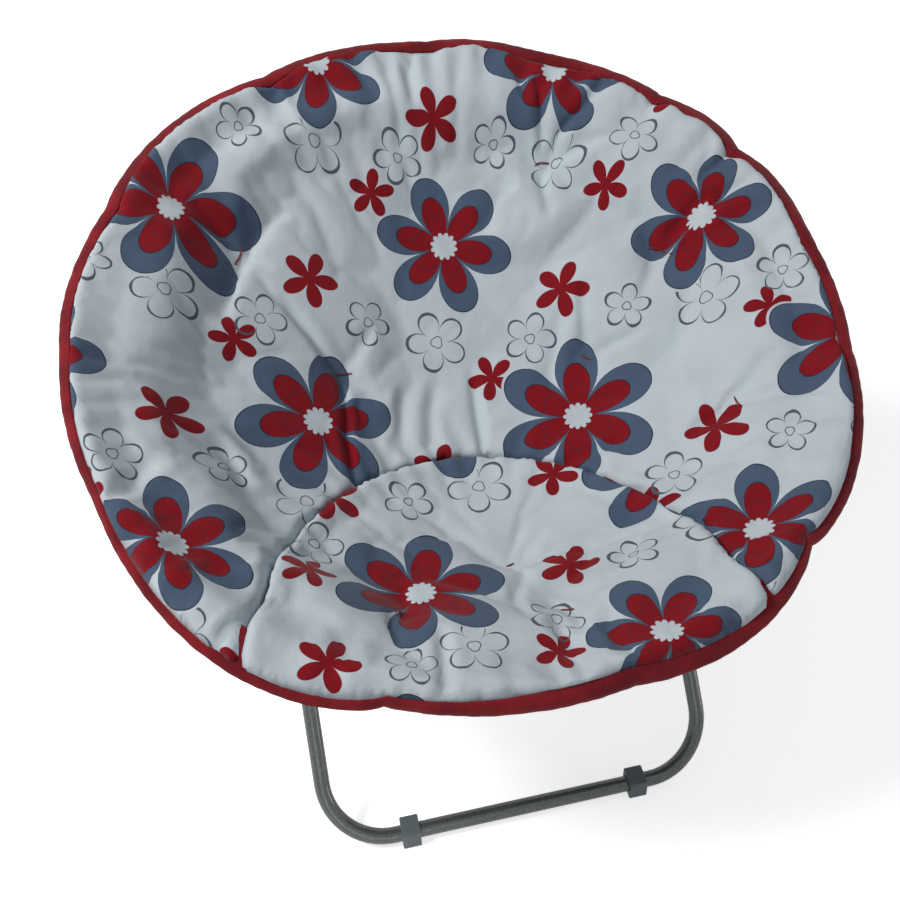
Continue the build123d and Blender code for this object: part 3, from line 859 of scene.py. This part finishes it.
turned = add_node(
    scatter, "ShaderNodeVectorRotate", {"Vector": placed.outputs[0], "Angle": turn}, rotation_type="Z_AXIS"
)
feed(scatter, out["Local"], turned.outputs["Vector"])
feed(scatter, out["Chance"], throw.outputs["X"])

# %% A blossom
blossom, into, out = new_group(
    "blossom",
    [
        ("Local", "Vector", None), ("Petals", "Float", 5.0), ("Reach", "Float", 0.05),
        ("Waist", "Float", 0.3), ("Fullness", "Float", 0.6),
    ],
    [("Inside", "Float")],
)
split = add_node(blossom, "ShaderNodeSeparateXYZ", {"Vector": into["Local"]})
angle = calc(blossom, "ARCTAN2", split.outputs["Y"], split.outputs["X"])
half_turns = calc(blossom, "MULTIPLY", calc(blossom, "MULTIPLY", angle, into["Petals"]), 0.5)
wave = calc(blossom, "ABSOLUTE", calc(blossom, "COSINE", half_turns))
wave = calc(blossom, "POWER", wave, into["Fullness"])
swing = calc(blossom, "MULTIPLY", calc(blossom, "SUBTRACT", 1.0, into["Waist"]), wave)
edge = calc(blossom, "MULTIPLY", into["Reach"], calc(blossom, "ADD", into["Waist"], swing))
radius = add_node(blossom, "ShaderNodeVectorMath", {0: into["Local"]}, operation="LENGTH")
feed(blossom, out["Inside"], calc(blossom, "SUBTRACT", edge, radius.outputs["Value"]))

# %% Print the cotton
cotton_white = (0.500, 0.560, 0.606)
slate = (0.066, 0.100, 0.160)
petal_red = (0.205, 0.0045, 0.0105)
outline_ink = (0.018, 0.018, 0.030)
pencil_ink = (0.075, 0.095, 0.125)
print_edge = 0.5 * MM
print_width, print_height = 312 * MM, 216 * MM
cotton_pitch, tape_pitch = 1.1 * MM, 1.0 * MM
cloth_relief = 0.25 * MM


def weave(tree, place, pitch):
    """Height of a plain weave, threads going over and under."""
    split = add_node(tree, "ShaderNodeSeparateXYZ", {"Vector": place})
    rate = pi / pitch
    warp = calc(tree, "SINE", calc(tree, "MULTIPLY", split.outputs["X"], rate))
    weft = calc(tree, "SINE", calc(tree, "MULTIPLY", split.outputs["Y"], rate))
    return calc(tree, "MULTIPLY", warp, weft)


def motif(tree, place, offset, seed, jitter=20 * MM):
    moved = add_node(tree, "ShaderNodeVectorMath", {0: place, 1: (offset[0], offset[1], 0)}, operation="ADD")
    return use_group(
        tree, scatter, Vector=moved.outputs[0], Width=print_width, Height=print_height, Seed=seed, Jitter=jitter
    )


def printed_with(tree, place):
    """The whole print as a colour."""

    def inside(local, petals, reach, waist, fullness):
        shape = use_group(tree, blossom, Local=local, Petals=petals, Reach=reach, Waist=waist, Fullness=fullness)
        return shape["Inside"]

    def filled(value):
        return fade(tree, value, -print_edge, print_edge)

    def drawn(value, width):
        return fade(tree, calc(tree, "ABSOLUTE", value), width, calc(tree, "MULTIPLY", width, 0.5))

    colour = (*cotton_white, 1)
    large = motif(tree, place, (0, 0), 1.0)
    size = fade(tree, large["Chance"], 0.0, 1.0, 0.90, 1.10)
    outer = inside(large["Local"], 6.0, calc(tree, "MULTIPLY", size, 92 * MM), 0.30, 0.55)
    heart = inside(large["Local"], 6.0, calc(tree, "MULTIPLY", size, 66 * MM), 0.22, 0.75)
    ring = inside(large["Local"], 6.0, calc(tree, "MULTIPLY", size, 42 * MM), 0.45, 0.9)
    middle = inside(large["Local"], 12.0, 17 * MM, 0.72, 0.8)
    for value, fill, line in ((outer, slate, 0.9 * MM), (heart, petal_red, 0.9 * MM)):
        colour = tint(tree, filled(value), colour, (*fill, 1))
        colour = tint(tree, drawn(value, line), colour, (*outline_ink, 1))
    colour = tint(tree, calc(tree, "MULTIPLY", drawn(ring, 0.8 * MM), 0.75), colour, (*outline_ink, 1))
    colour = tint(tree, filled(middle), colour, (*cotton_white, 1))
    for offset, seed, reach in (((0.50, 0.24), 2.0, 35 * MM), ((0.80, 0.70), 5.0, 29 * MM)):
        small = motif(tree, place, (print_width * offset[0], print_height * offset[1]), seed)
        drop = inside(small["Local"], 5.0, reach, 0.20, 0.9)
        free = calc(tree, "SUBTRACT", 1.0, filled(calc(tree, "ADD", outer, 4 * MM)))
        colour = tint(tree, calc(tree, "MULTIPLY", filled(drop), free), colour, (*petal_red, 1))
    brush = add_node(tree, "ShaderNodeTexNoise", {"Vector": place, "Scale": 38.0, "Detail": 2.0}).outputs["Fac"]
    width = fade(tree, brush, 0.3, 0.7, 1.0 * MM, 2.9 * MM)
    for offset, seed, reach in (
        ((0.02, 0.52), 3.0, 36 * MM), ((0.30, 0.42), 4.0, 27 * MM), ((0.68, 0.50), 6.0, 31 * MM),
    ):
        pencil = motif(tree, place, (print_width * offset[0], print_height * offset[1]), seed)
        free = calc(tree, "SUBTRACT", 1.0, filled(calc(tree, "ADD", outer, 4 * MM)))
        petals = drawn(inside(pencil["Local"], 5.0, reach, 0.30, 0.5), width)
        core = drawn(inside(pencil["Local"], 3.0, calc(tree, "MULTIPLY", reach, 0.2), 0.8, 1.0), 0.8 * MM)
        line = calc(tree, "MAXIMUM", petals, core)
        colour = tint(tree, calc(tree, "MULTIPLY", line, free), colour, (*pencil_ink, 1))
    return colour


def cotton(name, turn, shift, printed=True):
    """Brushed cotton: a soft sheen, a fine weave and small creases."""
    material, tree, shader = new_material(name, roughness=0.92, Sheen_Weight=0.08, Sheen_Roughness=0.5)
    shader.inputs["Specular IOR Level"].default_value = 0.15
    uv = add_node(tree, "ShaderNodeUVMap", uv_map="cloth").outputs[0]
    place = add_node(
        tree, "ShaderNodeMapping", {"Vector": uv, "Rotation": (0, 0, turn), "Location": (*shift, 0)}
    ).outputs[0]
    colour = printed_with(tree, place) if printed else (0.50, 0.52, 0.53, 1)
    stain = add_node(tree, "ShaderNodeTexNoise", {"Vector": place, "Scale": 14.0, "Detail": 4.0})
    shade = fade(tree, stain.outputs["Fac"], 0.35, 0.7, 1.0, 0.93)
    dull = add_node(tree, "ShaderNodeMix", {0: 1.0}, data_type="RGBA", blend_type="MULTIPLY")
    feed(tree, dull.inputs[6], colour)
    grey = add_node(tree, "ShaderNodeCombineColor", {0: shade, 1: shade, 2: shade})
    feed(tree, dull.inputs[7], grey.outputs[0])
    feed(tree, shader.inputs["Base Color"], dull.outputs[2])
    creases = add_node(tree, "ShaderNodeTexNoise", {"Vector": place, "Scale": 55.0, "Detail": 5.0, "Roughness": 0.55})
    threads = calc(tree, "MULTIPLY", weave(tree, place, cotton_pitch), 0.25)
    height = calc(tree, "ADD", calc(tree, "MULTIPLY", creases.outputs["Fac"], 6.0), threads)
    feed(tree, shader.inputs["Normal"], bump(tree, height, cloth_relief, 0.8))
    return material


printed_cotton = {
    "back": cotton("printed_cotton_back", radians(8), (0.03, 0.05)),
    "seat": cotton("printed_cotton_seat", radians(-21), (0.16, 0.02)),
}
backing_cloth = cotton("backing_cloth", 0, (0, 0), printed=False)

# %% Make the two panels
back = panel("back", slack=0.035, pressure=1.2, cap=9 * MM)
seat = panel("seat", slack=0.04, pressure=2.0, cap=10 * MM)
print("back", len(back.data.polygons), "faces, seat", len(seat.data.polygons), "faces")

# %% [markdown]
# ## Cutting the cover where the hoop folds
# The real cover simply creases at the hinges. In the model each half of the hoop carries its own share, so
# the panels are cut along the hinge line. Both cut edges keep the normals of the whole panel, and at rest
# the cut can't be seen.

# %% Cut a piece at the hinge line


def cut_at_hinge(piece, name, behind):
    """A closed copy of the part of a piece behind or ahead of the hinge line."""
    part = piece.copy()
    part.data = piece.data.copy()
    part.name = part.data.name = name
    bpy.context.scene.collection.objects.link(part)
    alone(part)
    bpy.ops.object.mode_set(mode="EDIT")
    bpy.ops.mesh.select_all(action="SELECT")
    plane = hoop_centre + up_slope * hinge_s
    bpy.ops.mesh.bisect(plane_co=plane, plane_no=up_slope, clear_inner=behind, clear_outer=not behind)
    bpy.ops.mesh.select_all(action="DESELECT")
    bpy.ops.mesh.select_non_manifold()
    bpy.ops.mesh.fill(use_beauty=True)
    bpy.ops.object.mode_set(mode="OBJECT")
    side = np.array([(Vector(p) - plane).dot(up_slope) for p in mesh_points(part)])
    on_cut = [int(i) for i in np.flatnonzero(np.abs(side) < 1e-5)]
    print(name, "has", len(on_cut), "points on the cut")
    group = part.vertex_groups.new(name="cut")
    group.add(on_cut, 1.0, "REPLACE")
    transfer = part.modifiers.new("whole_normals", "DATA_TRANSFER")
    transfer.object = piece
    transfer.use_loop_data = True
    transfer.data_types_loops = {"CUSTOM_NORMAL"}
    transfer.loop_mapping = "POLYINTERP_NEAREST"
    transfer.vertex_group = group.name
    bpy.ops.object.modifier_apply(modifier="whole_normals")
    return part


def cover_part(piece, name, behind, body, replaced):
    part = cut_at_hinge(piece, name, behind)
    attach(part, body)
    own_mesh(part)
    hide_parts(*replaced)
    return part


# %% [markdown]
# ## Tufting stitches
# Each tuft is a short stitch of doubled red thread that goes right through the pad, with a knot where the
# ends are tied off. A stitch is a Bezier curve with a round bevel, laid on the cloth by casting rays down on
# the finished panel, and then turned into a mesh.

# %% Sew the tufts
thread_radius = 0.55 * MM
# place of each tuft in its list, heading in degrees, length in millimetres and number of knots
back_stitches = [(0, 60, 17, 2), (1, 4, 20, 0), (2, -40, 13, 0), (3, -8, 15, 1), (4, -42, 26, 2), (5, 86, 19, 0)]
seat_stitches = [(0, 80, 9, 1), (1, 10, 8, 0), (2, -20, 10, 1)]


def on_cloth(tree, x, s, lift, side):
    """World point just off the upper (1) or lower (-1) side of the cloth, at a place in the plane of the hoop."""
    start = Vector(to_world(np.array([x]), np.array([s]), np.array([0.4 * side]))[0])
    place = tree.ray_cast(start, -off_hoop * side)[0]
    return place + off_hoop * lift * side


def strand(tree, x, s, step, aside, side):
    """One thread of a stitch, with its ends pulled into the cloth."""
    bpy.ops.object.select_all(action="DESELECT")
    bpy.ops.curve.primitive_bezier_curve_add(location=(0, 0, 0))
    thread = bpy.context.object
    spline = thread.data.splines[0]
    spline.bezier_points.add(3)
    for point, share in zip(spline.bezier_points, (-1.06, -1, -0.3, 0.45, 1.0)):
        across = aside * (1 - abs(share)) * 1.6
        lift = thread_radius * 1.2 if abs(share) < 1.05 else -2 * MM
        point.co = on_cloth(tree, x + step.x * share + across.x, s + step.y * share + across.y, lift, side)
        point.handle_left_type = point.handle_right_type = "AUTO"
    thread.data.bevel_depth = thread_radius
    thread.data.bevel_resolution = 2
    thread.data.resolution_u = 6
    thread.data.use_fill_caps = True
    bpy.ops.object.convert(target="MESH")
    return bpy.context.object


def knot(tree, x, s):
    bpy.ops.object.select_all(action="DESELECT")
    bpy.ops.mesh.primitive_ico_sphere_add(subdivisions=3, radius=1.7 * MM, location=on_cloth(tree, x, s, 0.4 * MM, 1))
    ball = bpy.context.object
    ball.scale = (1.0, 0.8, 0.7)
    ball.rotation_euler = off_hoop.to_track_quat("Z", "Y").to_euler()
    return ball


def sew(name, tree, tufts, stitches, body):
    """All the stitches of one panel, as one piece."""
    made = []
    for number, heading, length, knots in stitches:
        x, s = (v * MM for v in tufts[number])
        step = Vector((cos(radians(heading)), sin(radians(heading)))) * length / 2 * MM
        aside = Vector((-step.y, step.x)).normalized() * thread_radius
        made += [strand(tree, x, s, step, aside * way, side) for side in (1, -1) for way in (-1, 1)]
        made += [knot(tree, x + step.x * end, s + step.y * end) for end in ((), (1,), (-1, 1))[knots]]
    bpy.ops.object.select_all(action="DESELECT")
    for part in made:
        part.select_set(True)
    bpy.context.view_layer.objects.active = made[0]
    bpy.ops.object.transform_apply(location=True, rotation=True, scale=True)
    bpy.ops.object.join()
    piece = bpy.context.object
    piece.name = piece.data.name = name
    bpy.ops.object.shade_smooth()
    piece.data.materials.clear()
    piece.data.materials.append(red_thread)
    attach(piece, body)
    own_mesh(piece)
    return piece


red_thread, tree, shader = new_material("red_thread", roughness=0.6)
twist = add_node(
    tree, "ShaderNodeTexWave", {"Vector": object_place(tree), "Scale": 420.0, "Distortion": 1.0},
    bands_direction="DIAGONAL",
)
# the twist is painted: the same bands as the bump make the thread darker in its grooves, as painted shade, and lighter
# on its crests, as painted light
thread_groove_shade, thread_crest_light = (0.075, 0.006, 0.012, 1), (0.19, 0.014, 0.022, 1)
feed(tree, shader.inputs["Base Color"], tint(tree, twist.outputs["Fac"], thread_groove_shade, thread_crest_light))
feed(tree, shader.inputs["Normal"], bump(tree, twist.outputs["Fac"], 0.15 * MM))
for name, whole, tufts, stitches, body in (
    ("tuft_stitches_back", back, back_tufts, back_stitches, "rear_hoop"),
    ("tuft_stitches_seat", seat, seat_tufts, seat_stitches, "front_hoop"),
):
    surface = BVHTree.FromObject(whole, bpy.context.evaluated_depsgraph_get())
    piece = sew(name, surface, tufts, stitches, body)
    print(name, len(piece.data.polygons), "faces")

# %% Give each half of the hoop its share of the cover
cover_part(back, "cover_back", True, "rear_hoop", ["back_panel"])
cover_part(back, "cover_back_wings", False, "front_hoop", ["back_panel_wing_left", "back_panel_wing_right"])
cover_part(seat, "cover_seat", False, "front_hoop", ["seat_panel"])
cover_part(seat, "cover_seat_tongue", True, "rear_hoop", ["seat_panel_tongue"])
for whole in (back, seat):
    bpy.data.objects.remove(whole)

# %% [markdown]
# ## The red sleeve
# The edge of the cover is a sleeve of red tape that the hoop runs through. It is tight at the hinges and
# brackets, where it has its slots, and loose in between, so the outline of the chair is scalloped. A flat
# grid is rolled into a tube: one direction runs round the hoop, the other round the tube.

# %% Shape the sleeve
sleeve_sides = 56
sleeve_step = 3.0 * MM
seam_ridge = 0.5 * MM
# the tape bulges over the hinge's knuckles, which lie a little ahead of the hinge on the lower side
knuckle_bulge, knuckle_ahead = 3.2 * MM, 2.5


def sleeve_point(angle, turn):
    """Point of the sleeve at a ring angle, in degrees, and a turn round the tube, in radians from outwards."""
    a = np.radians(angle)
    pucker = 0.35 * MM * np.sin(a * 150 + 3 * np.sin(a * 17)) + 0.5 * MM * np.sin(a * 61 + 2 * np.sin(a * 13) + turn)
    pucker = pucker * (0.4 + 0.6 * np.sin(turn / 2) ** 2)
    past = np.mod(turn, 2 * pi) - meeting_turn(angle)
    tucked = ease((past + radians(2)) / radians(9)) * (1 - ease((np.mod(turn, 2 * pi) - radians(205)) / radians(25)))
    radius = (sleeve_radius + pucker) * (1 - tucked) + tucked_radius * tucked
    radius = radius + seam_ridge * np.exp(-(((past + radians(7)) / radians(6)) ** 2))
    for knuckle in (hinge_angle - knuckle_ahead, 180 - hinge_angle + knuckle_ahead):
        beside = ((angle - knuckle + 180) % 360 - 180) / 6
        below = (np.mod(turn, 2 * pi) - radians(237)) / radians(38)
        radius = radius + knuckle_bulge * np.exp(-(beside**2) - below**2)
    loose = loose_shift(angle, turn)
    ring = hoop_radius + loose + radius * np.cos(turn)
    return ring * np.cos(a), ring * np.sin(a), radius * np.sin(turn)


def sleeve(name, start, end):
    """A stretch of sleeve from one ring angle to another, closed at both ends."""
    length = radians(end - start) * hoop_radius
    steps = max(4, int(length / sleeve_step))
    bpy.ops.object.select_all(action="DESELECT")
    bpy.ops.mesh.primitive_grid_add(x_subdivisions=steps, y_subdivisions=sleeve_sides, size=1)
    piece = bpy.context.object
    piece.name = piece.data.name = name
    flat = mesh_points(piece) + 0.5
    angle, turn = start + flat[:, 0] * (end - start), flat[:, 1] * 2 * pi
    x, s, n = sleeve_point(angle, turn)
    piece.data.vertices.foreach_set("co", to_world(x, s, n).astype(np.float32).ravel())
    layer = piece.data.uv_layers[0]
    layer.name = "cloth"
    uv = np.zeros(len(piece.data.loops) * 2, np.float32)
    layer.data.foreach_get("uv", uv)
    uv = uv.reshape(-1, 2) * (length, 2 * pi * sleeve_radius) + (radians(start) * hoop_radius, 0)
    layer.data.foreach_set("uv", uv.ravel().astype(np.float32))
    bpy.ops.object.mode_set(mode="EDIT")
    bpy.ops.mesh.select_all(action="SELECT")
    bpy.ops.mesh.remove_doubles(threshold=0.00001)
    bpy.ops.mesh.select_all(action="DESELECT")
    bpy.ops.mesh.select_non_manifold()
    bpy.ops.mesh.fill_holes(sides=0)
    bpy.ops.mesh.select_all(action="SELECT")
    bpy.ops.mesh.normals_make_consistent(inside=False)
    bpy.ops.object.mode_set(mode="OBJECT")
    bpy.ops.object.shade_smooth_by_angle(angle=radians(50))
    piece.data.materials.append(red_tape)
    return piece


# %% Weave the red tape
# the row of stitches lies on the lower inner side, as a length round the tube
stitch_row = radians(228) * sleeve_radius
stitch_pitch = 4.5 * MM
red_tape, tree, shader = new_material("red_tape", roughness=0.85, Sheen_Weight=0.08, Sheen_Roughness=0.45)
shader.inputs["Specular IOR Level"].default_value = 0.2
place = add_node(tree, "ShaderNodeUVMap", uv_map="cloth").outputs[0]
rubbed = add_node(tree, "ShaderNodeTexNoise", {"Vector": place, "Scale": 22.0, "Detail": 5.0})
feed(
    tree, shader.inputs["Base Color"],
    tint(tree, fade(tree, rubbed.outputs["Fac"], 0.35, 0.7), (0.125, 0.0045, 0.0085, 1), (0.225, 0.009, 0.015, 1)),
)
stretched = add_node(tree, "ShaderNodeMapping", {"Vector": place, "Scale": (1.0, 0.25, 1.0)}).outputs[0]
puckers = add_node(tree, "ShaderNodeTexNoise", {"Vector": stretched, "Scale": 140.0, "Detail": 3.0})
split = add_node(tree, "ShaderNodeSeparateXYZ", {"Vector": place})
row = calc(tree, "ABSOLUTE", calc(tree, "SUBTRACT", split.outputs["Y"], stitch_row))
dashes = fade(tree, calc(tree, "SINE", calc(tree, "MULTIPLY", split.outputs["X"], 2 * pi / stitch_pitch)), -0.5, 0.1)
stitched = calc(tree, "MULTIPLY", fade(tree, row, 0.9 * MM, 0.4 * MM), dashes)
threads = calc(tree, "MULTIPLY", weave(tree, place, tape_pitch), 0.3)
height = calc(tree, "ADD", calc(tree, "MULTIPLY", puckers.outputs["Fac"], 5.0), threads)
height = calc(tree, "ADD", height, calc(tree, "MULTIPLY", stitched, 2.5))
feed(tree, shader.inputs["Normal"], bump(tree, height, cloth_relief, 0.8))

# %% Put the sleeve on the hoop
hinge_cover = 7.0
rear_start, rear_end = hinge_angle + hinge_cover, 180 - hinge_angle - hinge_cover
front_start, front_end = -180 - hinge_angle + hinge_cover, hinge_angle - hinge_cover
for name, start, end, body, replaced in (
    ("sleeve_rear", rear_start, rear_end, "rear_hoop", "rear_binding"),
    ("sleeve_front", front_start, front_end, "front_hoop", "front_binding"),
):
    piece = sleeve(name, start, end)
    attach(piece, body)
    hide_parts(replaced)
for name, start, end in (
    ("sleeve_hinge_right", front_end - 0.5, rear_start + 0.5),
    ("sleeve_hinge_left", rear_end - 0.5, 360 + front_start + 0.5),
):
    piece = sleeve(name, start, end)
    s = sleeve_point(np.array([start, end]), np.array([0.0, 0.0]))[1]
    ends = to_world(np.zeros(2), s, np.zeros(2))
    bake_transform(piece)
